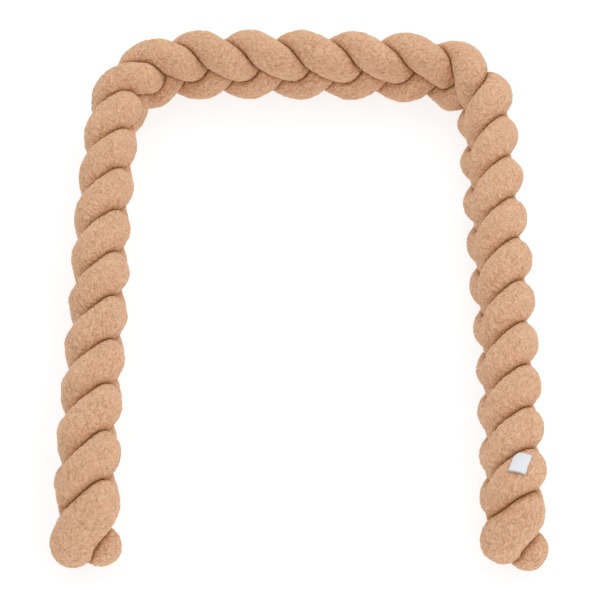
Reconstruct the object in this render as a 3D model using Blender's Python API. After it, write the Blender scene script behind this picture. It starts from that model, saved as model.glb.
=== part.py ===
"""A crib bumper: three stuffed tubes of curly cloth, plaited, standing on edge in a U.

Everything is in metres, with +Z up. The middle line of the plait runs up the left arm, across the far
run and down the right arm. A place in the plait is given by three numbers: "along" this line from the
left free end, "side" towards the inside of the U, and "up" from the middle of the plait's height.

Each tube weaves as a plait does: up = PLAIT_REACH sin t and side = -PLAIT_SWAY sin 2t, where t turns once
in three lobes and the tubes are a third of a turn apart. Each tube is round where it is free and pressed
flat where it meets another: a point belongs to the tube whose middle line it is nearest to.
"""

import math

import bpy
import numpy as np

MM = 0.001

# Plan of the plait's middle line
PLAIT_LENGTH = 2043 * MM
ROUTE_STEP = 2 * MM
ROUTE_MARGIN = 60 * MM
START_HEADING_DEG = 92.5
TURN_SOFT_SHARE = 0.3
# where it begins (mm), over what length (mm), by how many degrees, clockwise
TURNS = (
    (95, 150, 3.2),
    (285, 120, -1.5),
    (445, 200, 3.2),
    (676, 225, 87.6),
    (962, 200, 3.0),
    (1173, 175, 85.8),
    (1502, 320, 1.3),
    (1746, 235, 1.6),
)

# The plait
STRANDS = 3
PLAIT_REACH = 29.5 * MM
PLAIT_SWAY = 12.8 * MM
TUBE_RADIUS = 24.2 * MM
START_PHASE_DEG = 36.2
# distance along (mm), length of one lobe on the top edge (mm)
LOBES = (
    (0, 74.6),
    (190, 73.4),
    (290, 68.1),
    (380, 72.7),
    (620, 73.2),
    (780, 69.5),
    (940, 71.1),
    (1210, 75.2),
    (1400, 73.9),
    (1640, 69.7),
    (1850, 65),
    (1920, 60.5),
    (2043, 61.7),
)
# distance along (mm), lean of the top edge towards the inside (degrees)
LEANS = (
    (0, 0),
    (120, 8),
    (620, 8),
    (860, 2),
    (1160, 2),
    (1310, -5),
    (1450, -9),
    (1650, -7),
    (1850, -4),
    (2043, 0),
)
# distance along (mm), share of the full reach, sway and tube radius that the plait has there
FULLNESS = (
    (0, 0.78, 1.10, 1.14),
    (60, 0.95, 1.10, 1.12),
    (130, 1.00, 1.10, 1.04),
    (400, 1.00, 1.02, 1.03),
    (750, 1.00, 0.96, 0.98),
    (1250, 1.00, 0.92, 0.99),
    (1500, 1.00, 0.92, 1.03),
    (1920, 1.00, 1.00, 1.03),
    (1985, 0.95, 1.08, 1.12),
    (2043, 0.85, 1.10, 1.14),
)
# unevenness of each tube: share of its radius, wave length (mm), start of the wave (degrees)
SWELLS = (
    ((0.022, 310, 20), (0.018, 127, 200)),
    ((0.020, 270, 140), (0.018, 149, 80)),
    ((0.024, 350, 260), (0.016, 111, 310)),
)
# fat and thin lobes: tube, distance along (mm), half the lobe's length (mm), change of the radius (share)
FAT_LOBES = (
    (0, 45, 34, 0.07),
    (0, 90, 30, -0.04),
    (1, 48, 30, -0.13),
    (2, 66, 45, -0.05),
    (2, 1988, 42, 0.08),
    (1, 1993, 30, -0.12),
    (0, 1980, 45, -0.09),
)
# free ends: tube, end, inset of the round end's middle (mm), its side (mm) and height (mm), and how far
# from it the tube begins to move to that side (mm) and to that height (mm)
TIPS = (
    (0, "left", 27, -17, 33, 48, 56),
    (1, "left", 33, 16, 20, 46, 46),
    (2, "left", 65, -8, 48, 26, 30),
    (2, "right", 30, 13, 35, 48, 58),
    (1, "right", 30, -18, 17, 46, 46),
    (0, "right", 58, 8, 48, 26, 30),
)

# How the tubes meet each other and the floor
TUBE_GAP = 2.1 * MM
CREASE_ROUNDING = 7 * MM
FLOOR_PRESS = 3 * MM
MIDDLE_HEIGHT = PLAIT_REACH + TUBE_RADIUS - FLOOR_PRESS
LINE_STEP = 3 * MM
LINE_WINDOW = 22
SKIN_STEPS = 26

# The label: a folded strip lying on one tube, its sewn end in the crease beside the next tube
LABEL_TUBE = 0
# corner: distance along (mm), side (mm)
LABEL_CORNERS = {
    "sewn, far": (1929.5, 2.3),
    "sewn, near": (1958, 11.7),
    "folded, far": (1933, -16.7),
    "folded, near": (1962, -7),
}
LABEL_SHEET = 1.0 * MM
LABEL_LIFT = 0.5 * MM
LABEL_LAYER_GAP = 0.4 * MM
LABEL_START_UP = 75 * MM
LABEL_COLUMNS = 9
LABEL_ROWS = 7
FOLD_STEPS = 6

# The mesh of a tube
RING_SPACING = 10.5 * MM
TUBE_SIDES = 10
CAP_RINGS = 3

CAMEL = (0.607, 0.345, 0.209)
WHITE = (0.82, 0.83, 0.85)
CLOTH_ROUGHNESS = 0.95
RIBBON_ROUGHNESS = 0.7


def clear_scene():
    for obj in list(bpy.data.objects):
        bpy.data.objects.remove(obj, do_unlink=True)


def cloth_material(name, colour, roughness):
    material = bpy.data.materials.new(name)
    material.use_nodes = True
    shader = material.node_tree.nodes["Principled BSDF"]
    shader.inputs["Base Color"].default_value = (*colour, 1.0)
    shader.inputs["Roughness"].default_value = roughness
    shader.inputs["Metallic"].default_value = 0.0
    return material


def eased_turn(share):
    """Part of a turn made so far: curvature ramps up, holds and ramps down."""
    soft = TURN_SOFT_SHARE
    x = np.clip(share, 0.0, 1.0)
    up = np.minimum(x, soft) ** 2 / (2 * soft)
    hold = np.clip(x - soft, 0.0, 1.0 - 2 * soft)
    down = np.clip(x - (1.0 - soft), 0.0, soft)
    return (up + hold + down - down**2 / (2 * soft)) / (1.0 - soft)


def running_sum(values, step):
    """Integral of values, by the trapezium rule, from the first one on."""
    return np.concatenate([[0.0], np.cumsum((values[1:] + values[:-1]) * step / 2)])


def from_table(table, along, column=1):
    rows = np.array(table, float)
    return np.interp(along, rows[:, 0] * MM, rows[:, column])


class Route:
    """The plait's middle line in plan, with its phase and lean, by distance along."""

    def __init__(self):
        self.along = np.arange(-ROUTE_MARGIN, PLAIT_LENGTH + ROUTE_MARGIN, ROUTE_STEP)
        heading = np.full_like(self.along, START_HEADING_DEG)
        for begin, over, degrees in TURNS:
            heading -= degrees * eased_turn((self.along - begin * MM) / (over * MM))
        heading = np.radians(heading)
        self.ahead = np.stack([np.cos(heading), np.sin(heading)], axis=-1)
        self.place = np.stack([running_sum(part, ROUTE_STEP) for part in self.ahead.T], axis=-1)
        turned = running_sum(120.0 / (from_table(LOBES, self.along) * MM), ROUTE_STEP)
        turned -= np.interp(0.0, self.along, turned)
        self.phase = np.radians(START_PHASE_DEG + turned)
        self.lean = np.radians(from_table(LEANS, self.along))

    def read(self, values, along):
        return np.interp(along, self.along, values)

    def world(self, along, side, up):
        """Points in the room of places in the plait, before the floor presses on them."""
        lean = self.read(self.lean, along)
        across = side * np.cos(lean) + up * np.sin(lean)
        height = up * np.cos(lean) - side * np.sin(lean)
        ahead_x, ahead_y = (self.read(part, along) for part in self.ahead.T)
        x, y = (self.read(part, along) for part in self.place.T)
        return np.stack([x + across * ahead_y, y - across * ahead_x, height + MIDDLE_HEIGHT], axis=-1)


def tube_radius(strand, along):
    """Free radius of a tube, a little uneven as stuffing makes it."""
    share = np.ones_like(along)
    for height, wave, start in SWELLS[strand]:
        share += height * np.sin(2 * math.pi * along / (wave * MM) + math.radians(start))
    for tube, middle, half, change in FAT_LOBES:
        if tube == strand:
            away = np.clip(np.abs(along - middle * MM) / (half * MM), 0.0, 1.0)
            share += change * (1.0 + np.cos(math.pi * away)) / 2
    return TUBE_RADIUS * share * from_table(FULLNESS, along, 3)


def strand_line(route, strand):
    """Middle line of a tube: rows of (along, side, up, radius), about LINE_STEP apart.

    Near a free end the weave gives way to the place where the round end lies, as the square of how far
    into the end's reach a point is, so that the tube leaves the plait gently and sinks towards the floor.
    """
    tips = {end: tip for number, end, *tip in TIPS if number == strand}
    first = tips["left"][0] * MM
    last = PLAIT_LENGTH - tips["right"][0] * MM
    along = np.linspace(first, last, int((last - first) / ROUTE_STEP) + 1)
    turn = route.read(route.phase, along) + strand * 2 * math.pi / STRANDS
    side = -PLAIT_SWAY * from_table(FULLNESS, along, 2) * np.sin(2 * turn)
    up = PLAIT_REACH * from_table(FULLNESS, along, 1) * np.sin(turn)
    for end, at in (("left", first), ("right", last)):
        _, tip_side, tip_height, side_reach, height_reach = tips[end]
        share = np.clip(1.0 - np.abs(along - at) / (side_reach * MM), 0.0, 1.0) ** 2
        side = side + share * (tip_side * MM - side)
        share = np.clip(1.0 - np.abs(along - at) / (height_reach * MM), 0.0, 1.0) ** 2
        up = up + share * (tip_height * MM - MIDDLE_HEIGHT - up)
    line = np.stack([along, side, up, tube_radius(strand, along)], axis=-1)
    return spaced(line, LINE_STEP)


def spaced(line, step):
    """The same line with its points evenly spaced, step apart, along its own length."""
    hops = np.linalg.norm(np.diff(line[:, :3], axis=0), axis=1)
    length = np.concatenate([[0.0], np.cumsum(hops)])
    at = np.linspace(0.0, length[-1], int(round(length[-1] / step)) + 1)
    return np.stack([np.interp(at, length, column) for column in line.T], axis=-1)


def outside_by(points, line):
    """How far points lie outside a tube's free skin: the least of distance less radius.

    Only the part of the line within LINE_WINDOW steps of a point's own "along" is measured.
    """
    beside = np.searchsorted(line[:, 0], points[..., 0])
    window = beside[..., None] + np.arange(-LINE_WINDOW, LINE_WINDOW + 1)
    near = line[np.clip(window, 0, len(line) - 1)]
    gap = points[..., None, :] - near[..., :3]
    return (np.sqrt((gap**2).sum(axis=-1)) - near[..., 3]).min(axis=-1)


def pressed_depth(own, places, others):
    """How far places lie outside a tube's skin once the other tubes press on it.

    A place is inside while it is under the free skin, where own is below zero, and nearer to this tube
    than to the others by TUBE_GAP. The edge between the two is rounded off over CREASE_ROUNDING.
    """
    pressed = own - np.minimum(*(outside_by(places, line) for line in others)) + TUBE_GAP
    blend = np.maximum(CREASE_ROUNDING - np.abs(own - pressed), 0.0)
    return np.maximum(own, pressed) + blend**2 / (4 * CREASE_ROUNDING)


def end_reach(place, outward, free, others):
    """How far a tube's round end reaches past its middle line before it meets its skin."""
    reach = 0.0
    for _ in range(SKIN_STEPS):
        depth = pressed_depth(reach - free, (place + reach * outward)[None], others)[0]
        reach = max(reach - depth / 2, 0.0)
    return reach


def tube_rings(line, others):
    """Rings square to a tube's middle line, with a round end at each end.

    Returns each ring's middle, its two crosswise directions, its radius and how far it lies beyond
    the end of the line, where the free skin is a half ball.
    """
    line = spaced(line, RING_SPACING)
    ahead = np.gradient(line[:, :3], axis=0)
    ahead /= np.linalg.norm(ahead, axis=1, keepdims=True)
    cap = np.sin(np.linspace(0.0, math.pi / 2, CAP_RINGS + 1)[1:])
    first_reach = end_reach(line[0, :3], -ahead[0], line[0, 3], others)
    last_reach = end_reach(line[-1, :3], ahead[-1], line[-1, 3], others)
    beyond = np.concatenate([first_reach * -cap[::-1], np.zeros(len(line)), last_reach * cap])
    index = np.clip(np.arange(len(beyond)) - CAP_RINGS, 0, len(line) - 1)
    ahead, radius = ahead[index], line[index, 3]
    middle = line[index, :3] + beyond[:, None] * ahead
    upright = np.array([0.0, 0.0, 1.0]) - ahead * ahead[:, 2:]
    upright /= np.linalg.norm(upright, axis=1, keepdims=True)
    return middle, upright, np.cross(ahead, upright), radius, np.abs(beyond)


def tube_skin(lines, strand):
    """The pressed skin of a tube: (rings, sides, 3) places in the plait.

    A point starts on the middle line and moves outwards by half of how deep it still is, until it
    reaches the skin. Half a side of turn puts a side, not an edge, at the bottom of each ring.
    """
    others = [line for number, line in enumerate(lines) if number != strand]
    middle, upright, crosswise, free, beyond = tube_rings(lines[strand], others)
    angle = (np.arange(TUBE_SIDES)[:, None] + 0.5) * 2 * math.pi / TUBE_SIDES
    outward = np.cos(angle) * upright[:, None] + np.sin(angle) * crosswise[:, None]
    radius = np.zeros((len(middle), TUBE_SIDES))
    for _ in range(SKIN_STEPS):
        places = middle[:, None] + radius[..., None] * outward
        own = np.hypot(radius, beyond[:, None]) - free[:, None]
        radius = np.maximum(radius - pressed_depth(own, places, others) / 2, 0.0)
    radius[[0, -1]] = 0.0
    return middle[:, None] + radius[..., None] * outward


def tube_points(route, lines, strand):
    """Skin of a tube in the room, flat where it rests on the floor."""
    places = tube_skin(lines, strand)
    points = route.world(places[..., 0], places[..., 1], places[..., 2])
    points[..., 2] = np.maximum(points[..., 2], 0.0)
    return points


def tube_faces(points, rings, sides):
    """Triangles of a tube whose first and last ring are one point each, pointing outwards.

    Each four-sided patch is split along its shorter diagonal, which follows hollows and ridges best.
    """
    last = 1 + (rings - 2) * sides
    faces = []
    for side in range(sides):
        after = (side + 1) % sides
        faces.append((0, 1 + side, 1 + after))
        faces.append((last, last - sides + after, last - sides + side))
        for ring in range(rings - 3):
            here = 1 + ring * sides
            a, b, c, d = here + side, here + sides + side, here + sides + after, here + after
            if np.linalg.norm(points[a] - points[c]) <= np.linalg.norm(points[b] - points[d]):
                faces += [(a, b, c), (a, c, d)]
            else:
                faces += [(a, b, d), (b, c, d)]
    return faces


def label_bed(lines):
    """The patch of skin that the label lies on, its upward normals and its direction to the fold.

    Each is (columns, rows, 3) in the plait, with columns across the label and rows from its sewn end
    to its fold. A place starts above the tube and sinks until it reaches the skin.
    """
    corner = {name: np.array(place) * MM for name, place in LABEL_CORNERS.items()}
    across = np.linspace(0.0, 1.0, LABEL_COLUMNS)[:, None, None]
    out = np.linspace(0.0, 1.0, LABEL_ROWS)[None, :, None]
    sewn = (1 - across) * corner["sewn, far"] + across * corner["sewn, near"]
    folded = (1 - across) * corner["folded, far"] + across * corner["folded, near"]
    plan = (1 - out) * sewn + out * folded
    places = np.concatenate([plan, np.full(plan.shape[:2] + (1,), LABEL_START_UP)], axis=-1)
    others = [line for number, line in enumerate(lines) if number != LABEL_TUBE]
    for _ in range(SKIN_STEPS):
        own = outside_by(places, lines[LABEL_TUBE])
        places[..., 2] -= pressed_depth(own, places, others) / 2
    to_fold = np.gradient(places, axis=1)
    to_fold /= np.linalg.norm(to_fold, axis=-1, keepdims=True)
    normal = np.cross(np.gradient(places, axis=0), to_fold)
    normal *= np.sign(normal[..., 2:])
    normal /= np.linalg.norm(normal, axis=-1, keepdims=True)
    return places, normal, to_fold


def label_skins(lines):
    """Inner and outer skin of the folded label, (columns, steps, 3) each, in the plait.

    The steps run along the lower layer to the fold, round it and back along the upper layer.
    """
    bed, normal, to_fold = label_bed(lines)
    lower = LABEL_LIFT + LABEL_SHEET / 2
    bend = (LABEL_SHEET + LABEL_LAYER_GAP) / 2
    turn = np.linspace(0.0, math.pi, FOLD_STEPS + 1)[:, None]
    skins = []
    for offset in (-LABEL_SHEET / 2, LABEL_SHEET / 2):
        below = bed[:, :-1] + normal[:, :-1] * (lower - offset)
        above = bed[:, :-1] + normal[:, :-1] * (lower + 2 * bend + offset)
        round_fold = np.sin(turn) * to_fold[:, -1:] - np.cos(turn) * normal[:, -1:]
        fold = bed[:, -1:] + normal[:, -1:] * (lower + bend) + round_fold * (bend + offset)
        skins.append(np.concatenate([below, fold, above[:, ::-1]], axis=1))
    return skins


def sheet_faces(columns, steps):
    """Faces of a closed sheet from its inner skin's points, then its outer skin's, pointing outwards."""
    grid = np.arange(columns * steps).reshape(columns, steps)
    outer = columns * steps
    faces = []
    for column in range(columns - 1):
        for step in range(steps - 1):
            a, b = grid[column, step], grid[column + 1, step]
            c, d = grid[column + 1, step + 1], grid[column, step + 1]
            faces.append((a, b, c, d))
            faces.append((d + outer, c + outer, b + outer, a + outer))
    rim = [*grid[:, 0], *grid[-1, 1:], *grid[-2::-1, -1], *grid[0, -2:0:-1]]
    for here, after in zip(rim, rim[1:] + rim[:1]):
        faces.append((after, here, here + outer, after + outer))
    return faces


def add_object(name, points, faces, material):
    mesh = bpy.data.meshes.new(name)
    mesh.from_pydata(points.tolist(), [], faces)
    mesh.validate()
    mesh.shade_smooth()
    obj = bpy.data.objects.new(name, mesh)
    obj.data.materials.append(material)
    bpy.context.scene.collection.objects.link(obj)
    return obj


def main():
    clear_scene()
    route = Route()
    lines = [strand_line(route, strand) for strand in range(STRANDS)]
    skins = [tube_points(route, lines, strand) for strand in range(STRANDS)]
    label = np.stack([route.world(*np.moveaxis(skin, -1, 0)) for skin in label_skins(lines)])
    cloth = cloth_material("camel_teddy_cloth", CAMEL, CLOTH_ROUGHNESS)
    ribbon = cloth_material("white_woven_ribbon", WHITE, RIBBON_ROUGHNESS)

    low = np.min([skin.min(axis=(0, 1)) for skin in skins], axis=0)
    high = np.max([skin.max(axis=(0, 1)) for skin in skins], axis=0)
    centre = (low + high) / 2 * (1, 1, 0)
    for strand, skin in enumerate(skins):
        rings, sides, _ = skin.shape
        points = np.concatenate([skin[:1, 0], skin[1:-1].reshape(-1, 3), skin[-1:, 0]]) - centre
        add_object(f"strand_{strand + 1}", points, tube_faces(points, rings, sides), cloth)
    _, columns, steps, _ = label.shape
    add_object("label", label.reshape(-1, 3) - centre, sheet_faces(columns, steps), ribbon)


if __name__ == "__main__":
    main()
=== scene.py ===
"""A crib bumper: three stuffed tubes of curly pile cloth, plaited, standing on edge in a U.

Everything is in metres, with +Z up. The middle line of the plait runs up the left arm, across the far
run and down the right arm. A place in the plait is given by three numbers: "along" this line from the
left free end, "side" towards the inside of the U, and "up" from the middle of the plait's height.

Each tube weaves as a plait does: up = reach sin t and side = -sway sin 2t, where t turns once in three
lobes and the tubes are a third of a turn apart. Each tube is round where it is free and pressed flat
where it meets another. The skins are worked out on whole grids, and the pile's tufts stand on them.
"""

import logging
import math
from dataclasses import dataclass, field
from enum import Enum

import bpy
import numpy as np
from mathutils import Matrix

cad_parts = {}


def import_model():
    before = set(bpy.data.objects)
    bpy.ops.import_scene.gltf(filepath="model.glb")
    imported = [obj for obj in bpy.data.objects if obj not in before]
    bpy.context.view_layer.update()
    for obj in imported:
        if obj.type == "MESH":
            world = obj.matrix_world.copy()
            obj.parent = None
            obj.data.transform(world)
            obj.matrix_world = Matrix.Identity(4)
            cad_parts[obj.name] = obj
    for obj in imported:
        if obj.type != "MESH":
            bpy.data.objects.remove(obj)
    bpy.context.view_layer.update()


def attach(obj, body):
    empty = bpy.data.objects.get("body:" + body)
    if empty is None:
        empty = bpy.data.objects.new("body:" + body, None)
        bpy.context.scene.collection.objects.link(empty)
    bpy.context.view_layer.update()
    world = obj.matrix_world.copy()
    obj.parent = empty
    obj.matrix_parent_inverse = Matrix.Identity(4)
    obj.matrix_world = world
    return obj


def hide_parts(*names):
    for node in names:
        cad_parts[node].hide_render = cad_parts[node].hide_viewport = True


LOG = logging.getLogger("crib_bumper")
MM = 0.001
Rows = tuple[tuple[float, ...], ...]


class End(Enum):
    """A free end of the plait."""

    LEFT = "left"
    RIGHT = "right"


def linear(hex_colour: str) -> tuple[float, float, float, float]:
    """Turn an sRGB hex colour to linear light, by the sRGB curve.

    Args:
        hex_colour: six hex digits, red, green and blue.

    Returns:
        Linear red, green and blue, and an alpha of 1.
    """
    shares = (int(hex_colour[at : at + 2], 16) / 255 for at in (0, 2, 4))
    red, green, blue = (x / 12.92 if x <= 0.04045 else ((x + 0.055) / 1.055) ** 2.4 for x in shares)
    return red, green, blue, 1.0


def running_sum(values: np.ndarray, step: float) -> np.ndarray:
    """Integrate values from the first one on, by the trapezium rule.

    Args:
        values: samples, step apart.
        step: the distance between samples.

    Returns:
        The integral up to each sample.
    """
    return np.concatenate([[0.0], np.cumsum((values[1:] + values[:-1]) * step / 2)])


def from_table(table: Rows, along: np.ndarray, column: int = 1) -> np.ndarray:
    """Read a column of a table whose first column is the distance along, in mm, on straight lines.

    Args:
        table: rows of numbers.
        along: distances in metres.
        column: the column to read.

    Returns:
        The column's value at each distance.
    """
    rows = np.array(table, float)
    return np.interp(along, rows[:, 0] * MM, rows[:, column])


def unit(vectors: np.ndarray) -> np.ndarray:
    """Scale vectors to length 1."""
    return vectors / np.maximum(np.linalg.norm(vectors, axis=-1, keepdims=True), 1e-12)


def spaced(line: np.ndarray, step: float) -> np.ndarray:
    """Space the points of a line evenly along its own length.

    Args:
        line: rows that begin with a point's three numbers.
        step: the distance wanted between points.

    Returns:
        The same line with its rows step apart.
    """
    hops = np.linalg.norm(np.diff(line[:, :3], axis=0), axis=1)
    length = np.concatenate([[0.0], np.cumsum(hops)])
    at = np.linspace(0.0, length[-1], int(round(length[-1] / step)) + 1)
    return np.stack([np.interp(at, length, column) for column in line.T], axis=-1)


def even_random(cell: np.ndarray, salt: int) -> np.ndarray:
    """Give each whole-number cell its own even random number, by mixing its three numbers' bits.

    Args:
        cell: whole numbers, (..., 3).
        salt: chooses one of many such fields.

    Returns:
        Numbers from 0 to 1, (...).
    """
    mask = np.uint64(0xFFFFFFFF)
    number = (cell.astype(np.int64) & 0xFFFFFFFF).astype(np.uint64)
    mixed = number[..., 0] * np.uint64(374761393) + number[..., 1] * np.uint64(668265263)
    mixed = (mixed + number[..., 2] * np.uint64(2246822519) + np.uint64(salt * 40503)) & mask
    mixed = ((mixed ^ (mixed >> np.uint64(13))) * np.uint64(1274126177)) & mask
    mixed = ((mixed ^ (mixed >> np.uint64(15))) * np.uint64(2246822519)) & mask
    return (mixed ^ (mixed >> np.uint64(16))).astype(float) / 0xFFFFFFFF


def tufts(points: np.ndarray, size: float, salt: int, reach: float = 0.55) -> np.ndarray:
    """Height of a field of round tufts, one at a random place in each cell of a cubic lattice.

    The height is 1 less the square of the distance to the nearest tuft's middle, over the reach.

    Args:
        points: places, (..., 3).
        size: the side of a cell.
        salt: chooses one of many such fields.
        reach: square of the distance at which a tuft ends, in cells.

    Returns:
        Heights from 0, between tufts, to 1 on their tops.
    """
    here = points / size
    cell = np.floor(here)
    nearest = np.full(points.shape[:-1], 9.0)
    for offset in np.ndindex(3, 3, 3):
        other = cell + (np.array(offset) - 1)
        jitter = np.stack([even_random(other, salt + axis) for axis in range(3)], axis=-1)
        nearest = np.minimum(nearest, ((other + jitter - here) ** 2).sum(axis=-1))
    return np.clip(1.0 - nearest / reach, 0.0, 1.0)


def rolling(points: np.ndarray, waves: Rows) -> np.ndarray:
    """Gentle unevenness: the sum of plane waves.

    Args:
        points: places, (..., 3).
        waves: rows of height (mm), wave length (mm), direction (turn, tilt in degrees) and start (degrees).

    Returns:
        Heights in metres.
    """
    total = np.zeros(points.shape[:-1])
    for height, length, turn, tilt, start in waves:
        turn, tilt, start = math.radians(turn), math.radians(tilt), math.radians(start)
        towards = (math.cos(tilt) * math.cos(turn), math.cos(tilt) * math.sin(turn), math.sin(tilt))
        total += height * MM * np.sin(points @ np.array(towards) * 2 * math.pi / (length * MM) + start)
    return total


def curved_weights(share: np.ndarray) -> np.ndarray:
    """Catmull-Rom weights of the four samples round a place that lies share of the way from the second."""
    one, two, three = share, share**2, share**3
    before = -0.5 * one + two - 0.5 * three
    here = 1.0 - 2.5 * two + 1.5 * three
    after = 0.5 * one + 2.0 * two - 1.5 * three
    return np.stack([before, here, after, 0.5 * (three - two)], axis=-1)


def refined(grid: np.ndarray, times: int) -> np.ndarray:
    """Put more rings and sides into a tube's grid, on Catmull-Rom curves through the old ones.

    Past each pole the rings go on as the ring next to the pole, half a turn round.

    Args:
        grid: (rings, sides, numbers), its first and last ring all one point.
        times: new steps for each old one.

    Returns:
        The finer grid.
    """
    rings, sides, numbers = grid.shape
    half = sides // 2
    longer = np.concatenate([np.roll(grid[1:2], half, axis=1), grid, np.roll(grid[-2:-1], half, axis=1)])
    at = np.arange((rings - 1) * times + 1)
    weights = curved_weights((at % times) / times)
    begin = np.minimum(at // times, rings - 1)
    window = np.minimum(begin[:, None] + np.arange(4), rings + 1)
    rows = np.einsum("rw,rwsn->rsn", weights, longer[window])
    weights = curved_weights((np.arange(sides * times) % times) / times)
    window = (np.arange(sides * times)[:, None] // times + np.arange(-1, 3)) % sides
    return np.einsum("sw,rswn->rsn", weights, rows[:, window])


def add_node(tree: bpy.types.NodeTree, kind: str, settings: dict, inputs: dict) -> bpy.types.Node:
    """Add a shader node.

    Args:
        tree: the material's node tree.
        kind: the node's type name.
        settings: the node's own properties.
        inputs: a value or another node's output socket for each input, by name or number.

    Returns:
        The node.
    """
    node = tree.nodes.new(kind)
    for name, value in settings.items():
        setattr(node, name, value)
    for name, value in inputs.items():
        if isinstance(value, bpy.types.NodeSocket):
            tree.links.new(value, node.inputs[name])
        else:
            node.inputs[name].default_value = value
    return node


def empty_material(name: str) -> tuple[bpy.types.Material, bpy.types.NodeTree]:
    """Make a material whose node tree holds nothing yet."""
    material = bpy.data.materials.new(name)
    material.use_nodes = True
    material.node_tree.nodes.clear()
    return material, material.node_tree


def mesh_object(name: str, points: np.ndarray, faces: np.ndarray) -> bpy.types.Object:
    """Make an object at the origin from arrays of points and faces.

    Args:
        name: the piece's name.
        points: (count, 3).
        faces: (count, corners), each row's corners counter-clockwise from outside. A row of four with
            its last two alike is a triangle.

    Returns:
        The object, shaded smooth.
    """
    corners = np.where(faces[:, -1] == faces[:, -2], faces.shape[1] - 1, faces.shape[1])
    keep = np.arange(faces.shape[1]) < corners[:, None]
    mesh = bpy.data.meshes.new(name)
    mesh.vertices.add(len(points))
    mesh.vertices.foreach_set("co", points.astype(np.float32).ravel())
    mesh.loops.add(int(corners.sum()))
    mesh.loops.foreach_set("vertex_index", faces[keep].astype(np.int32))
    mesh.polygons.add(len(faces))
    mesh.polygons.foreach_set("loop_start", (np.cumsum(corners) - corners).astype(np.int32))
    mesh.update(calc_edges=True)
    mesh.validate()
    mesh.shade_smooth()
    obj = bpy.data.objects.new(name, mesh)
    bpy.context.scene.collection.objects.link(obj)
    return obj


def add_attribute(obj: bpy.types.Object, name: str, values: np.ndarray) -> None:
    """Store one number for each point of an object, for its material to read."""
    attribute = obj.data.attributes.new(name, "FLOAT", "POINT")
    attribute.data.foreach_set("value", values.astype(np.float32).ravel())


@dataclass
class Route:
    """The plait's middle line in plan, with its phase and lean, by distance along."""

    length: float = 2043 * MM
    step: float = 2 * MM
    margin: float = 60 * MM
    start_heading: float = 92.5
    turn_soft_share: float = 0.3
    # where it begins (mm), over what length (mm), by how many degrees, clockwise
    turns: Rows = (
        (95, 150, 3.2),
        (285, 120, -1.5),
        (445, 200, 3.2),
        (676, 225, 87.6),
        (962, 200, 3.0),
        (1173, 175, 85.8),
        (1502, 320, 1.3),
        (1746, 235, 1.6),
    )
    start_phase: float = 36.2
    lobe_turn: float = 120.0
    # distance along (mm), length of one lobe on the top edge (mm)
    lobes: Rows = (
        (0, 74.6),
        (190, 73.4),
        (290, 68.1),
        (380, 72.7),
        (620, 73.2),
        (780, 69.5),
        (940, 71.1),
        (1210, 75.2),
        (1400, 73.9),
        (1640, 69.7),
        (1850, 65),
        (1920, 60.5),
        (2043, 61.7),
    )
    # distance along (mm), lean of the top edge towards the inside (degrees)
    leans: Rows = (
        (0, 0),
        (120, 8),
        (620, 8),
        (860, 2),
        (1160, 2),
        (1310, -5),
        (1450, -9),
        (1650, -7),
        (1850, -4),
        (2043, 0),
    )
    middle_height: float = 50.7 * MM
    plan_middle: tuple[float, float] = (253.034 * MM, 483.069 * MM)
    along: np.ndarray = field(init=False, repr=False)
    ahead: np.ndarray = field(init=False, repr=False)
    place: np.ndarray = field(init=False, repr=False)
    phase: np.ndarray = field(init=False, repr=False)
    lean: np.ndarray = field(init=False, repr=False)

    def __post_init__(self) -> None:
        """Work out heading, place, phase and lean, the first three as running sums."""
        self.along = np.arange(-self.margin, self.length + self.margin, self.step)
        heading = np.full_like(self.along, self.start_heading)
        for begin, over, degrees in self.turns:
            heading -= degrees * self.eased_turn((self.along - begin * MM) / (over * MM))
        heading = np.radians(heading)
        self.ahead = np.stack([np.cos(heading), np.sin(heading)], axis=-1)
        self.place = np.stack([running_sum(part, self.step) for part in self.ahead.T], axis=-1)
        turned = running_sum(self.lobe_turn / (from_table(self.lobes, self.along) * MM), self.step)
        turned -= np.interp(0.0, self.along, turned)
        self.phase = np.radians(self.start_phase + turned)
        self.lean = np.radians(from_table(self.leans, self.along))

    def eased_turn(self, share: np.ndarray) -> np.ndarray:
        """Part of a turn made so far: curvature ramps up, holds and ramps down.

        Args:
            share: how far through the turn, from 0 to 1.

        Returns:
            The part made, from 0 to 1.
        """
        soft = self.turn_soft_share
        x = np.clip(share, 0.0, 1.0)
        up = np.minimum(x, soft) ** 2 / (2 * soft)
        hold = np.clip(x - soft, 0.0, 1.0 - 2 * soft)
        down = np.clip(x - (1.0 - soft), 0.0, soft)
        return (up + hold + down - down**2 / (2 * soft)) / (1.0 - soft)

    def read(self, values: np.ndarray, along: np.ndarray) -> np.ndarray:
        """Read a quantity of the route at distances along it."""
        return np.interp(along, self.along, values)

    def world(self, places: np.ndarray) -> np.ndarray:
        """Turn places in the plait into points in the room.

        The plait's cross-section is turned by the lean and set square to the route at each distance.

        Args:
            places: (..., 3) of along, side and up.

        Returns:
            (..., 3) of x, y and z, with the middle of the plan at the origin.
        """
        along, side, up = np.moveaxis(places, -1, 0)
        lean = self.read(self.lean, along)
        across = side * np.cos(lean) + up * np.sin(lean)
        height = up * np.cos(lean) - side * np.sin(lean)
        ahead_x, ahead_y = (self.read(part, along) for part in self.ahead.T)
        x = self.read(self.place[:, 0], along) + across * ahead_y - self.plan_middle[0]
        y = self.read(self.place[:, 1], along) - across * ahead_x - self.plan_middle[1]
        return np.stack([x, y, height + self.middle_height], axis=-1)


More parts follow.
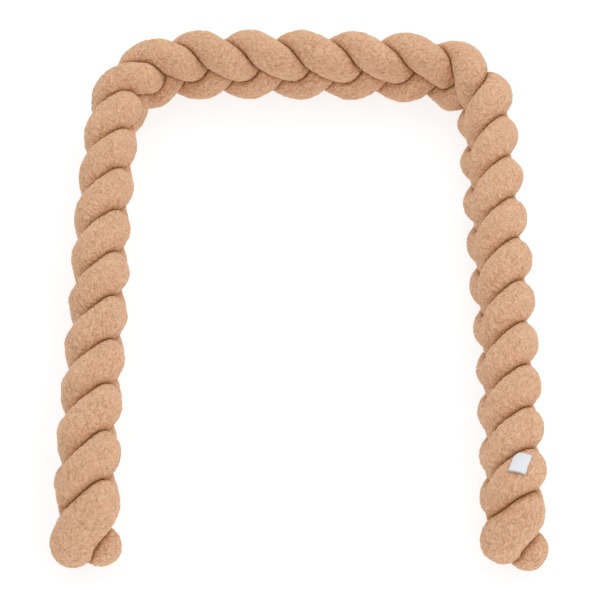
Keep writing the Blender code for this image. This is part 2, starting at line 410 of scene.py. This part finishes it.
@dataclass
class Plait:
    """Three tubes' middle lines, and how the tubes press on each other."""

    route: Route
    strands: int = 3
    reach: float = 29.5 * MM
    sway: float = 12.8 * MM
    radius: float = 24.2 * MM
    # distance along (mm), share of the full reach, sway and tube radius that the plait has there
    fullness: Rows = (
        (0, 0.78, 1.10, 1.14),
        (60, 0.95, 1.10, 1.12),
        (130, 1.00, 1.10, 1.04),
        (400, 1.00, 1.02, 1.03),
        (750, 1.00, 0.96, 0.98),
        (1250, 1.00, 0.92, 0.99),
        (1500, 1.00, 0.92, 1.03),
        (1920, 1.00, 1.00, 1.03),
        (1985, 0.95, 1.08, 1.12),
        (2043, 0.85, 1.10, 1.14),
    )
    # unevenness of each tube: share of its radius, wave length (mm), start of the wave (degrees)
    swells: tuple[Rows, ...] = (
        ((0.022, 310, 20), (0.018, 127, 200)),
        ((0.020, 270, 140), (0.018, 149, 80)),
        ((0.024, 350, 260), (0.016, 111, 310)),
    )
    # fat and thin lobes: tube, distance along (mm), half the lobe's length (mm), change of radius (share)
    fat_lobes: Rows = (
        (0, 45, 34, 0.07),
        (0, 90, 30, -0.04),
        (1, 48, 30, -0.13),
        (2, 66, 45, -0.05),
        (2, 1988, 42, 0.08),
        (1, 1993, 30, -0.12),
        (0, 1980, 45, -0.09),
    )
    # free ends: tube, end, inset of the round end's middle (mm), its side (mm) and height (mm), and how far
    # from it the tube begins to move to that side (mm) and to that height (mm)
    tips: tuple[tuple, ...] = (
        (0, End.LEFT, 27, -17, 33, 48, 56),
        (1, End.LEFT, 33, 16, 20, 46, 46),
        (2, End.LEFT, 65, -8, 48, 26, 30),
        (2, End.RIGHT, 30, 13, 35, 48, 58),
        (1, End.RIGHT, 30, -18, 17, 46, 46),
        (0, End.RIGHT, 58, 8, 48, 26, 30),
    )
    gap: float = 0.3 * MM
    crease_rounding: float = 3 * MM
    line_step: float = 3 * MM
    line_window: int = 22
    skin_steps: int = 26
    lines: list[np.ndarray] = field(init=False, repr=False)

    def __post_init__(self) -> None:
        """Work out the tubes' middle lines."""
        self.lines = [self.strand_line(strand) for strand in range(self.strands)]

    def tube_radius(self, strand: int, along: np.ndarray) -> np.ndarray:
        """Free radius of a tube: its fullness there, with long waves of stuffing and fat and thin lobes.

        Args:
            strand: which tube.
            along: distances along the route.

        Returns:
            Radii.
        """
        share = np.ones_like(along)
        for height, wave, start in self.swells[strand]:
            share += height * np.sin(2 * math.pi * along / (wave * MM) + math.radians(start))
        for tube, middle, half, change in self.fat_lobes:
            if tube == strand:
                away = np.clip(np.abs(along - middle * MM) / (half * MM), 0.0, 1.0)
                share += change * (1.0 + np.cos(math.pi * away)) / 2
        return self.radius * share * from_table(self.fullness, along, 3)

    def strand_line(self, strand: int) -> np.ndarray:
        """Middle line of a tube.

        Near a free end the weave gives way to the place where the round end lies, as the square of how
        far into the end's reach a point is, so that the tube leaves the plait gently and sinks.

        Args:
            strand: which tube.

        Returns:
            Rows of along, side, up and radius.
        """
        route = self.route
        tips = {end: tip for number, end, *tip in self.tips if number == strand}
        first = tips[End.LEFT][0] * MM
        last = route.length - tips[End.RIGHT][0] * MM
        along = np.linspace(first, last, int((last - first) / route.step) + 1)
        turn = route.read(route.phase, along) + strand * 2 * math.pi / self.strands
        side = -self.sway * from_table(self.fullness, along, 2) * np.sin(2 * turn)
        up = self.reach * from_table(self.fullness, along, 1) * np.sin(turn)
        for end, at in ((End.LEFT, first), (End.RIGHT, last)):
            _, tip_side, tip_height, side_reach, height_reach = tips[end]
            share = np.clip(1.0 - np.abs(along - at) / (side_reach * MM), 0.0, 1.0) ** 2
            side = side + share * (tip_side * MM - side)
            share = np.clip(1.0 - np.abs(along - at) / (height_reach * MM), 0.0, 1.0) ** 2
            up = up + share * (tip_height * MM - route.middle_height - up)
        line = np.stack([along, side, up, self.tube_radius(strand, along)], axis=-1)
        return spaced(line, self.line_step)

    def others(self, strand: int) -> list[np.ndarray]:
        """Middle lines of the other tubes."""
        return [line for number, line in enumerate(self.lines) if number != strand]

    def outside_by(self, places: np.ndarray, line: np.ndarray) -> np.ndarray:
        """How far places lie outside a tube's free skin: the least of distance less radius.

        Only the part of the line near a place's own "along" is measured.

        Args:
            places: (..., 3).
            line: the tube's middle line.

        Returns:
            Distances, below zero inside.
        """
        beside = np.searchsorted(line[:, 0], places[..., 0])
        window = beside[..., None] + np.arange(-self.line_window, self.line_window + 1)
        near = line[np.clip(window, 0, len(line) - 1)]
        gap = places[..., None, :] - near[..., :3]
        return (np.sqrt((gap**2).sum(axis=-1)) - near[..., 3]).min(axis=-1)

    def clearance(self, places: np.ndarray, strand: int) -> np.ndarray:
        """How far places lie outside the free skins of all tubes but one."""
        return np.minimum(*(self.outside_by(places, line) for line in self.others(strand)))

    def pressed_depth(self, own: np.ndarray, places: np.ndarray, strand: int) -> np.ndarray:
        """How far places lie outside a tube's skin once the other tubes press on it.

        A place is inside while it is under the free skin, where own is below zero, and nearer to this
        tube than to the others by the gap. The edge between the two is rounded off.

        Args:
            own: how far the places lie outside this tube's free skin.
            places: (..., 3).
            strand: which tube.

        Returns:
            Distances, below zero inside.
        """
        pressed = own - self.clearance(places, strand) + self.gap
        blend = np.maximum(self.crease_rounding - np.abs(own - pressed), 0.0)
        return np.maximum(own, pressed) + blend**2 / (4 * self.crease_rounding)


@dataclass(frozen=True)
class PileCloth:
    """Curly pile cloth: a knitted polyester ground with short, curled, matt pile, sheared level.

    To the eye it is soft and granular. The curls' tips are pale, the gaps between them are darker and
    redder, partly the cloth's own colour and partly painted shade deep in the pile, there is no gloss,
    and a faint pale bloom shows where the pile is seen edge on.
    """

    tip: str = "E6BD9D"
    middle: str = "D9AB89"
    # pit: the darker colour between the curls, partly the cloth's own and partly painted shade
    pit: str = "BA8861"
    # crease: the colour of the painted shade in the creases between the tubes
    crease: str = "AC7038"
    bloom: str = "FFE9D2"
    # nearness to the next tube (share), strength of the painted crease shade (share), between none and the
    # full painted shade
    crease_shades: Rows = ((0.2, 0.08), (0.5, 0.36), (0.8, 0.66))
    full_crease_shade: float = 0.75
    crease_jag: float = 0.25
    # sizes in mm. They give curls 2 to 3 mm wide, about the finest that the photograph's frame shows.
    winding_size: float = 7.5
    windings: float = 8.0
    bend_size: float = 3.4
    bend_reach: float = 1.6
    fibre_size: float = 1.8
    patch_size: float = 45.0
    curl_weight: float = 0.85
    fibre_weight: float = 0.7
    patch_weight: float = 0.5
    lowest_shade: float = 0.38
    highest_shade: float = 2.2
    pile_depth: float = 1.2
    roughness: float = 0.95
    gloss: float = 0.05
    softness: float = 0.5
    soft_reach: float = 3.0
    soft_colours: tuple[float, float, float] = (1.0, 0.7, 0.5)
    bloom_weight: float = 0.08
    bloom_roughness: float = 0.7

    def noise(
        self, tree: bpy.types.NodeTree, place: bpy.types.NodeSocket, size: float, detail: float
    ) -> bpy.types.Node:
        """Add a noise whose blobs are about size mm apart.

        Args:
            tree: the material's node tree.
            place: where the noise is read.
            size: in millimetres. The texture's scale is one over this size in metres.
            detail: how many finer layers it has.

        Returns:
            The noise texture.
        """
        inputs = {"Vector": place, "Scale": 1 / (size * MM), "Detail": detail}
        return add_node(tree, "ShaderNodeTexNoise", {}, inputs)

    def material(self) -> bpy.types.Material:
        """Build the material.

        The curls are winding rows: a noise, its places bent by a finer one, folded back and forth. The
        colour runs from pit to tip by the height of the pile: the tufts' stored height, the curls and the
        finer fibres over them. The creases get painted shade by how near the next tube is, later where the
        pile stands high, so that their edges are ragged.

        Returns:
            The material.
        """
        material, tree = empty_material("camel_pile_cloth")
        place = add_node(tree, "ShaderNodeTexCoord", {}, {}).outputs["Object"]
        tuft = add_node(tree, "ShaderNodeAttribute", {"attribute_name": "tuft"}, {}).outputs["Fac"]
        crease = add_node(tree, "ShaderNodeAttribute", {"attribute_name": "crease"}, {}).outputs["Fac"]
        weighted = {"operation": "MULTIPLY_ADD"}
        bend = self.noise(tree, place, self.bend_size, 1.0).outputs["Color"]
        reach = (self.bend_reach * MM,) * 3
        bent = add_node(tree, "ShaderNodeVectorMath", weighted, {0: bend, 1: reach, 2: place}).outputs[0]
        curls = self.noise(tree, bent, self.winding_size, 1.0).outputs["Fac"]
        curls = add_node(tree, "ShaderNodeMath", {"operation": "MULTIPLY"}, {0: curls, 1: self.windings})
        curls = add_node(tree, "ShaderNodeMath", {"operation": "PINGPONG"}, {0: curls.outputs[0], 1: 1.0})
        fibres = self.noise(tree, bent, self.fibre_size, 2.0).outputs["Fac"]
        patches = self.noise(tree, place, self.patch_size, 1.0).outputs["Fac"]
        height = tuft
        for part, weight in ((curls.outputs[0], self.curl_weight), (fibres, self.fibre_weight)):
            height = add_node(tree, "ShaderNodeMath", weighted, {0: part, 1: weight, 2: height}).outputs[0]
        shade = add_node(tree, "ShaderNodeMath", weighted, {0: patches, 1: self.patch_weight, 2: height})
        limits = {"From Min": self.lowest_shade, "From Max": self.highest_shade}
        shade = add_node(tree, "ShaderNodeMapRange", {}, {"Value": shade.outputs[0], **limits})
        share = shade.outputs["Result"]
        # Colour from pit to tip by pile height; the darker pits are partly painted shade deep in the pile.
        pile = add_node(tree, "ShaderNodeValToRGB", {}, {"Fac": share})
        stops = pile.color_ramp.elements
        stops[0].color, stops[1].color = linear(self.pit), linear(self.tip)
        stops.new(0.5).color = linear(self.middle)
        # Painted shade in the creases: darker the nearer the next tube is, less where the pile stands high.
        sunken = add_node(tree, "ShaderNodeMath", weighted, {0: share, 1: -self.crease_jag, 2: crease})
        depth = add_node(tree, "ShaderNodeValToRGB", {}, {"Fac": sunken.outputs[0]})
        stops = depth.color_ramp.elements
        stops[0].color, stops[1].color = (0.0, 0.0, 0.0, 1.0), (self.full_crease_shade,) * 3 + (1.0,)
        for position, tint in self.crease_shades:
            stops.new(position).color = (tint,) * 3 + (1.0,)
        colours = {0: depth.outputs["Color"], 6: pile.outputs["Color"], 7: linear(self.crease)}
        crease_shaded = add_node(tree, "ShaderNodeMix", {"data_type": "RGBA"}, colours)
        relief = {"Height": height, "Strength": 1.0, "Distance": self.pile_depth * MM}
        bump = add_node(tree, "ShaderNodeBump", {}, relief)
        surface = {
            "Base Color": crease_shaded.outputs[2],
            "Roughness": self.roughness,
            "Specular IOR Level": self.gloss,
            "Subsurface Weight": self.softness,
            "Subsurface Scale": self.soft_reach * MM,
            "Subsurface Radius": self.soft_colours,
            "Sheen Weight": self.bloom_weight,
            "Sheen Roughness": self.bloom_roughness,
            "Sheen Tint": linear(self.bloom),
            "Normal": bump.outputs["Normal"],
        }
        shader = add_node(tree, "ShaderNodeBsdfPrincipled", {}, surface)
        add_node(tree, "ShaderNodeOutputMaterial", {}, {"Surface": shader.outputs["BSDF"]})
        return material


@dataclass(frozen=True)
class WovenRibbon:
    """Woven ribbon: bright white polyester satin threads, woven narrow and folded double.

    To the eye it is a cool white, smoother than the pile, with a fine rib across its width. Its sides and
    its fold carry a grey band of painted shade.
    """

    thread: str = "F1F3F5"
    between: str = "CFD3D9"
    # edge: the grey of the painted shade along the sides and the fold
    edge: str = "A9A8A6"
    # in mm: finer than the photograph's frame shows, and seen only from close up
    rib_spacing: float = 0.6
    rib_wander: float = 0.4
    rib_depth: float = 0.2
    rib_strength: float = 0.35
    # share of the way from gap to thread at which the full thread colour is reached
    full_thread: float = 0.5
    roughness: float = 0.62
    bloom_weight: float = 0.1

    def material(self) -> bpy.types.Material:
        """Build the material from ribs along the ribbon's own UV map, which is in millimetres.

        The weave is the product of two sets of bands. A wave texture's bands are pi / (10 x scale) apart.

        Returns:
            The material.
        """
        material, tree = empty_material("white_woven_ribbon")
        place = add_node(tree, "ShaderNodeTexCoord", {}, {}).outputs["UV"]
        bands = {"Vector": place, "Scale": math.pi / (10 * self.rib_spacing), "Distortion": self.rib_wander}
        ribs = {}
        for number, axis in enumerate(("X", "Y")):
            kind = {"wave_type": "BANDS", "bands_direction": axis}
            ribs[number] = add_node(tree, "ShaderNodeTexWave", kind, bands).outputs["Fac"]
        weave = add_node(tree, "ShaderNodeMath", {"operation": "MULTIPLY"}, ribs).outputs[0]
        threads = add_node(tree, "ShaderNodeValToRGB", {}, {"Fac": weave})
        stops = threads.color_ramp.elements
        stops[0].color, stops[1].color = linear(self.between), linear(self.thread)
        stops[1].position = self.full_thread
        relief = {"Height": weave, "Strength": self.rib_strength, "Distance": self.rib_depth * MM}
        bump = add_node(tree, "ShaderNodeBump", {}, relief)
        # Painted shade: greyer along the sides and the fold, by the stored rim.
        rim = add_node(tree, "ShaderNodeAttribute", {"attribute_name": "rim"}, {}).outputs["Fac"]
        colours = {0: rim, 6: threads.outputs["Color"], 7: linear(self.edge)}
        edge_shaded = add_node(tree, "ShaderNodeMix", {"data_type": "RGBA"}, colours)
        surface = {
            "Base Color": edge_shaded.outputs[2],
            "Roughness": self.roughness,
            "Sheen Weight": self.bloom_weight,
            "Normal": bump.outputs["Normal"],
        }
        shader = add_node(tree, "ShaderNodeBsdfPrincipled", {}, surface)
        add_node(tree, "ShaderNodeOutputMaterial", {}, {"Surface": shader.outputs["BSDF"]})
        return material


@dataclass
class StuffedTubes:
    """The three tubes, each a closed skin with its pile."""

    plait: Plait
    finish: PileCloth
    ring_spacing: float = 4.25 * MM
    sides: int = 38
    cap_rings: int = 9
    finer: int = 2
    tuft_size: float = 4.2 * MM
    tuft_height: float = 1.9 * MM
    fine_tuft_size: float = 2.6 * MM
    fine_tuft_share: float = 0.4
    crease_fade: float = 7 * MM
    tuft_fade: float = 1.5 * MM
    floor_clearance: float = 0.4 * MM
    seam_depth: float = 1.3 * MM
    seam_width: float = 1.5 * MM
    fill: float = 0.85
    # height (mm), wave length (mm), direction (turn and tilt, degrees), start (degrees)
    stuffing_waves: Rows = (
        (0.20, 31, 20, 10, 40),
        (0.20, 27, 95, 35, 170),
        (0.16, 23, 150, -30, 250),
        (0.20, 35, 60, 60, 100),
        (0.12, 19, 10, -45, 310),
    )

    def end_reach(self, place: np.ndarray, outward: np.ndarray, free: float, strand: int) -> float:
        """How far a round end reaches past its middle line before it meets its skin.

        Args:
            place: the line's last point.
            outward: the direction past it.
            free: the free radius there.
            strand: which tube.

        Returns:
            The reach.
        """
        reach = 0.0
        for _ in range(self.plait.skin_steps):
            own, at = np.array([reach - free]), (place + reach * outward)[None]
            reach = max(reach - self.plait.pressed_depth(own, at, strand)[0] / 2, 0.0)
        return reach

    def skin(self, strand: int) -> tuple[np.ndarray, np.ndarray]:
        """The pressed skin of a tube, from rings square to its middle line and a round cap at each end.

        A point starts on the middle line and moves outwards by half of how deep it still is, until it
        reaches the skin.

        Args:
            strand: which tube.

        Returns:
            Places (rings, sides, 3) and each one's clearance from the other tubes (rings, sides).
        """
        plait = self.plait
        line = spaced(plait.lines[strand], self.ring_spacing)
        ahead = unit(np.gradient(line[:, :3], axis=0))
        cap = np.sin(np.linspace(0.0, math.pi / 2, self.cap_rings + 1)[1:])
        first = self.end_reach(line[0, :3], -ahead[0], line[0, 3], strand)
        last = self.end_reach(line[-1, :3], ahead[-1], line[-1, 3], strand)
        beyond = np.concatenate([first * -cap[::-1], np.zeros(len(line)), last * cap])
        index = np.clip(np.arange(len(beyond)) - self.cap_rings, 0, len(line) - 1)
        ahead, free = ahead[index], line[index, 3]
        middle = line[index, :3] + beyond[:, None] * ahead
        upright = unit(np.array([0.0, 0.0, 1.0]) - ahead * ahead[:, 2:])
        crosswise = np.cross(ahead, upright)
        angle = np.arange(self.sides)[:, None] * 2 * math.pi / self.sides
        outward = np.cos(angle) * upright[:, None] + np.sin(angle) * crosswise[:, None]
        radius = np.zeros((len(middle), self.sides))
        for _ in range(plait.skin_steps):
            places = middle[:, None] + radius[..., None] * outward
            own = np.hypot(radius, beyond[:, None]) - free[:, None]
            radius = np.maximum(radius - plait.pressed_depth(own, places, strand) / 2, 0.0)
        radius[[0, -1]] = 0.0
        places = middle[:, None] + radius[..., None] * outward
        return places, plait.clearance(places, strand)

    def normals(self, points: np.ndarray) -> np.ndarray:
        """Outward normals of a tube's grid: the cross product of its two directions.

        Args:
            points: (rings, sides, 3).

        Returns:
            (rings, sides, 3), with each pole's normal the mean of the ring's beside it.
        """
        along = np.gradient(points, axis=0)
        around = np.roll(points, -1, axis=1) - np.roll(points, 1, axis=1)
        normal = unit(np.cross(around, along))
        outward = points - points.mean(axis=1, keepdims=True)
        normal *= np.sign((normal * outward)[1:-1].sum())
        for pole, beside in ((0, 1), (-1, -2)):
            normal[pole] = unit(normal[beside].mean(axis=0))
        return normal

    def seam(self, rings: int, sides: int) -> np.ndarray:
        """Depth of the long seam, a soft groove that runs along the bottom of each ring.

        Args:
            rings: rings in the grid.
            sides: sides in the grid.

        Returns:
            (rings, sides) depths in metres.
        """
        turn = np.abs(np.arange(sides) / sides - 0.5) * 2 * math.pi
        groove = self.seam_depth * np.exp(-((turn * self.plait.radius / self.seam_width) ** 2))
        return np.tile(groove, (rings, 1))

    def faces(self, rings: int, sides: int) -> np.ndarray:
        """Faces of a tube whose first and last ring are one point each.

        Args:
            rings: rings in the grid, poles included.
            sides: sides in the grid.

        Returns:
            (count, 4) corners, with triangles round the poles.
        """
        side = np.arange(sides)
        after = (side + 1) % sides
        here = 1 + np.arange(rings - 3)[:, None] * sides
        body = np.stack([here + side, here + sides + side, here + sides + after, here + after], axis=-1)
        last = 1 + (rings - 2) * sides
        pole = np.zeros(sides, int)
        first_cap = np.stack([pole, 1 + side, 1 + after, 1 + after], axis=-1)
        back = last - sides
        last_cap = np.stack([pole + last, back + after, back + side, back + side], axis=-1)
        return np.concatenate([body.reshape(-1, 4), first_cap, last_cap])

    def listed(self, grid: np.ndarray) -> np.ndarray:
        """List a grid's values in the order of the mesh's points, with each pole once."""
        body = grid[1:-1].reshape(-1, *grid.shape[2:])
        return np.concatenate([grid[:1, 0], body, grid[-1:, 0]])

    def dressed(self, strand: int) -> tuple[np.ndarray, np.ndarray, np.ndarray]:
        """Skin of a tube in the room with its pile: tufts, finer tufts, stuffing waves and seam.

        Args:
            strand: which tube.

        Returns:
            Points (rings, sides, 3), the tufts' height from 0 to 1 and the crease's strength from 0 to 1.
        """
        places, clearance = self.skin(strand)
        grid = refined(np.concatenate([places, clearance[..., None]], axis=-1), self.finer)
        points = self.plait.route.world(grid[..., :3])
        crease = np.exp(-np.maximum(grid[..., 3] - self.plait.gap, 0.0) / self.crease_fade)
        tuft = tufts(points, self.tuft_size, 11 + 7 * strand)
        fine = tufts(points, self.fine_tuft_size, 97 + 7 * strand)
        pile = (1 - self.fine_tuft_share) * tuft + self.fine_tuft_share * fine
        height = rolling(points, self.stuffing_waves) * (1.0 - crease) - self.seam(*crease.shape)
        height += self.tuft_height * (pile - 0.5) * (1.0 - crease ** (self.crease_fade / self.tuft_fade))
        height[[0, -1]] = height[[0, -1]].mean(axis=1, keepdims=True)
        points = points + self.normals(points) * height[..., None]
        points[..., 2] = np.maximum(points[..., 2], self.floor_clearance * tuft)
        return points, pile, crease

    def build(self) -> list[bpy.types.Object]:
        """Build the three tubes.

        Returns:
            The pieces.
        """
        material = self.finish.material()
        pieces = []
        for strand in range(self.plait.strands):
            points, pile, crease = self.dressed(strand)
            rings, sides, _ = points.shape
            piece = mesh_object(f"pile_tube_{strand + 1}", self.listed(points), self.faces(rings, sides))
            add_attribute(piece, "tuft", self.listed(pile))
            add_attribute(piece, "crease", self.listed(crease))
            piece.data.materials.append(material)
            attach(piece, "root")
            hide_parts(f"strand_{strand + 1}")
            LOG.info("%s: %d faces", piece.name, len(piece.data.polygons))
            pieces.append(piece)
        return pieces


@dataclass
class FoldedLabel:
    """The bare ribbon label: two layers with a fold at the free edge, the other end in a crease."""

    plait: Plait
    finish: WovenRibbon
    strand: int = 0
    # corner: distance along (mm), side (mm)
    corners: dict[str, tuple[float, float]] = field(
        default_factory=lambda: {
            "sewn, far": (1927.3, -1.8),
            "sewn, middle": (1933, 3.2),
            "sewn, near": (1958, 11.7),
            "folded, far": (1933, -16.7),
            "folded, near": (1962, -7),
        }
    )
    thickness: float = 0.45 * MM
    lift: float = 0.9 * MM
    layer_gap: float = 0.3 * MM
    curl: float = 1.6 * MM
    far_curl_share: float = 0.25
    start_up: float = 75 * MM
    edge_shade_width: float = 1.3 * MM
    edge_shade_strength: float = 0.75
    columns: int = 41
    rows: int = 33
    fold_steps: int = 10

    def bed(self) -> tuple[np.ndarray, np.ndarray, np.ndarray]:
        """The patch of skin that the label lies on.

        The corners are joined by straight lines in plan, but for the sewn edge, which follows the crease
        and so bends at its middle. A place starts above the tube and sinks by half of how far it still
        is from the skin.

        Returns:
            Places, upward normals and directions to the fold, each (columns, rows, 3) in the plait.
        """
        corner = {name: np.array(place) * MM for name, place in self.corners.items()}
        across = np.linspace(0.0, 1.0, self.columns)[:, None, None]
        out = np.linspace(0.0, 1.0, self.rows)[None, :, None]
        bent = np.stack([corner["sewn, far"], corner["sewn, middle"], corner["sewn, near"]], axis=-1)
        sewn = np.stack([np.interp(across, (0.0, 0.5, 1.0), row) for row in bent], axis=-1)[..., 0, :]
        folded = (1 - across) * corner["folded, far"] + across * corner["folded, near"]
        plan = (1 - out) * sewn + out * folded
        places = np.concatenate([plan, np.full(plan.shape[:2] + (1,), self.start_up)], axis=-1)
        for _ in range(self.plait.skin_steps):
            own = self.plait.outside_by(places, self.plait.lines[self.strand])
            places[..., 2] -= self.plait.pressed_depth(own, places, self.strand) / 2
        to_fold = unit(np.gradient(places, axis=1))
        normal = np.cross(np.gradient(places, axis=0), to_fold)
        normal = unit(normal * np.sign(normal[..., 2:]))
        return places, normal, to_fold

    def skins(self) -> tuple[np.ndarray, np.ndarray, float, float]:
        """Inner and outer skin of the label, along the lower layer, round the fold and back.

        The fold stands a little proud of the tube, as the square of the distance from the sewn edge, and
        most at its near corner.

        Returns:
            The skins, (columns, steps, 3) each in the plait, and the ribbon's flat width and length.
        """
        bed, normal, to_fold = self.bed()
        across = np.linspace(-1.0, 1.0, self.columns)[:, None, None]
        out = np.linspace(0.0, 1.0, self.rows)[None, :, None]
        uneven = self.far_curl_share + (1.0 - self.far_curl_share) * np.clip(across, 0.0, 1.0) ** 2
        curled = self.curl * out**2 * uneven
        lower = self.lift + self.thickness / 2 + curled
        bend = (self.thickness + self.layer_gap) / 2
        turn = np.linspace(0.0, math.pi, self.fold_steps + 1)[:, None]
        made = []
        for offset in (-self.thickness / 2, self.thickness / 2):
            below = bed + normal * (lower - offset)
            above = bed + normal * (lower + 2 * bend + offset)
            round_fold = np.sin(turn) * to_fold[:, -1:] - np.cos(turn) * normal[:, -1:]
            fold = bed[:, -1:] + normal[:, -1:] * (lower[:, -1:] + bend) + round_fold * (bend + offset)
            made.append(np.concatenate([below[:, :-1], fold, above[:, -2::-1]], axis=1))
        middle = (made[0] + made[1]) / 2
        width = np.linalg.norm(np.diff(middle, axis=0), axis=-1).sum(axis=0).mean()
        length = np.linalg.norm(np.diff(middle, axis=1), axis=-1).sum(axis=1).mean()
        return made[0], made[1], float(width), float(length)

    def faces(self, columns: int, steps: int) -> np.ndarray:
        """Faces of a closed sheet, from its inner skin's points and then its outer skin's.

        Args:
            columns: points across.
            steps: points along.

        Returns:
            (count, 4) corners.
        """
        grid = np.arange(columns * steps).reshape(columns, steps)
        outer = columns * steps
        inner = np.stack([grid[:-1, :-1], grid[1:, :-1], grid[1:, 1:], grid[:-1, 1:]], axis=-1)
        inner = inner.reshape(-1, 4)
        rim = np.concatenate([grid[:, 0], grid[-1, 1:], grid[-2::-1, -1], grid[0, -2:0:-1]])
        after = np.roll(rim, -1)
        edge = np.stack([after, rim, rim + outer, after + outer], axis=-1)
        return np.concatenate([inner, inner[:, ::-1] + outer, edge])

    def build(self) -> bpy.types.Object:
        """Build the label.

        Returns:
            The piece.
        """
        inner, outer, width, length = self.skins()
        columns, steps, _ = inner.shape
        points = self.plait.route.world(np.stack([inner, outer])).reshape(-1, 3)
        piece = mesh_object("ribbon_label", points, self.faces(columns, steps))
        spans = np.linspace(0, width, columns), np.linspace(0, length, steps)
        across, along = np.meshgrid(*spans, indexing="ij")
        flat = np.tile(np.stack([across, along], axis=-1).reshape(-1, 2) / MM, (2, 1))
        corner = np.empty(len(piece.data.loops), np.int32)
        piece.data.loops.foreach_get("vertex_index", corner)
        uv_map = piece.data.uv_layers.new(name="ribbon")
        uv_map.data.foreach_set("uv", flat[corner].astype(np.float32).ravel())
        # A band of painted shade along the sides and the fold, stored as rim for the material.
        from_edge = np.minimum(np.minimum(across, width - across), np.abs(along - length / 2))
        rim = self.edge_shade_strength * np.exp(-((from_edge / self.edge_shade_width) ** 2))
        add_attribute(piece, "rim", np.tile(rim.ravel(), 2))
        piece.data.materials.append(self.finish.material())
        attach(piece, "root")
        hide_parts("label")
        LOG.info("%s: flat %.1f by %.1f mm", piece.name, width / MM, length / MM)
        return piece


@dataclass
class Studio:
    """Camera, lights and floor of a soft, white product picture taken from above the free ends."""

    view_down: float = 52.0
    distance: float = 3.187
    lens: float = 144.0
    sensor: float = 36.0
    farthest_seen: float = 30.0
    look_at: tuple[float, float, float] = (0.001, 0.006, 0.0)
    world_strength: float = 0.85
    floor_size: float = 14.0
    floor_colour: str = "8C8C8C"
    floor_glow: float = 0.79
    # light: place (m), side length (m), power (W)
    lamps: dict[str, tuple[tuple[float, float, float], float, float]] = field(
        default_factory=lambda: {
            "key_softbox": ((0.6, 1.3, 2.15), 1.4, 16.0),
            "fill_softbox": ((1.18, -2.04, 1.1), 1.4, 9.0),
        }
    )

    def camera(self) -> None:
        """Place the camera on a line that rises from its target by the angle that it looks down by."""
        down = math.radians(self.view_down)
        data = bpy.data.cameras.new("camera")
        data.lens, data.sensor_width, data.clip_end = self.lens, self.sensor, self.farthest_seen
        camera = bpy.data.objects.new("camera", data)
        back = np.array([0.0, -math.cos(down), math.sin(down)])
        camera.location = np.array(self.look_at) + self.distance * back
        camera.rotation_euler = (math.pi / 2 - down, 0.0, 0.0)
        bpy.context.scene.collection.objects.link(camera)
        bpy.context.scene.camera = camera

    def lights(self) -> None:
        """Light the scene evenly from all round, and from square softboxes that face the origin."""
        scene = bpy.context.scene
        world = bpy.data.worlds.new("white_room")
        world.use_nodes = True
        background = world.node_tree.nodes["Background"]
        background.inputs["Color"].default_value = (1.0, 1.0, 1.0, 1.0)
        background.inputs["Strength"].default_value = self.world_strength
        scene.world = world
        for name, (place, side, power) in self.lamps.items():
            data = bpy.data.lights.new(name, "AREA")
            data.size, data.energy = side, power
            lamp = bpy.data.objects.new(name, data)
            lamp.location = place
            x, y, z = place
            lamp.rotation_euler = (math.atan2(math.hypot(x, y), z), 0.0, math.atan2(y, x) + math.pi / 2)
            scene.collection.objects.link(lamp)
        scene.view_settings.view_transform = "Standard"

    def floor(self) -> bpy.types.Object:
        """Lay a pale sheet that glows a little, as a lit table does, so that shadows on it stay faint.

        Returns:
            The floor.
        """
        half = self.floor_size / 2
        points = np.array([[-half, -half, 0], [half, -half, 0], [half, half, 0], [-half, half, 0]])
        floor = mesh_object("floor", points, np.array([[0, 1, 2, 3]]))
        material, tree = empty_material("pale_floor")
        shader = add_node(
            tree,
            "ShaderNodeBsdfPrincipled",
            {},
            {
                "Base Color": linear(self.floor_colour),
                "Roughness": 1.0,
                "Specular IOR Level": 0.0,
                "Emission Color": (1.0, 1.0, 1.0, 1.0),
                "Emission Strength": self.floor_glow,
            },
        )
        add_node(tree, "ShaderNodeOutputMaterial", {}, {"Surface": shader.outputs["BSDF"]})
        floor.data.materials.append(material)
        return floor

    def build(self) -> None:
        """Set up camera, lights and floor."""
        self.camera()
        self.lights()
        self.floor()


def main() -> None:
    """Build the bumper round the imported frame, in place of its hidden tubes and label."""
    logging.basicConfig(level=logging.INFO, format="%(message)s")
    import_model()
    plait = Plait(Route())
    Studio().build()
    tubes = StuffedTubes(plait, PileCloth())
    tubes.build()
    FoldedLabel(plait, WovenRibbon()).build()


if __name__ == "__main__":
    main()
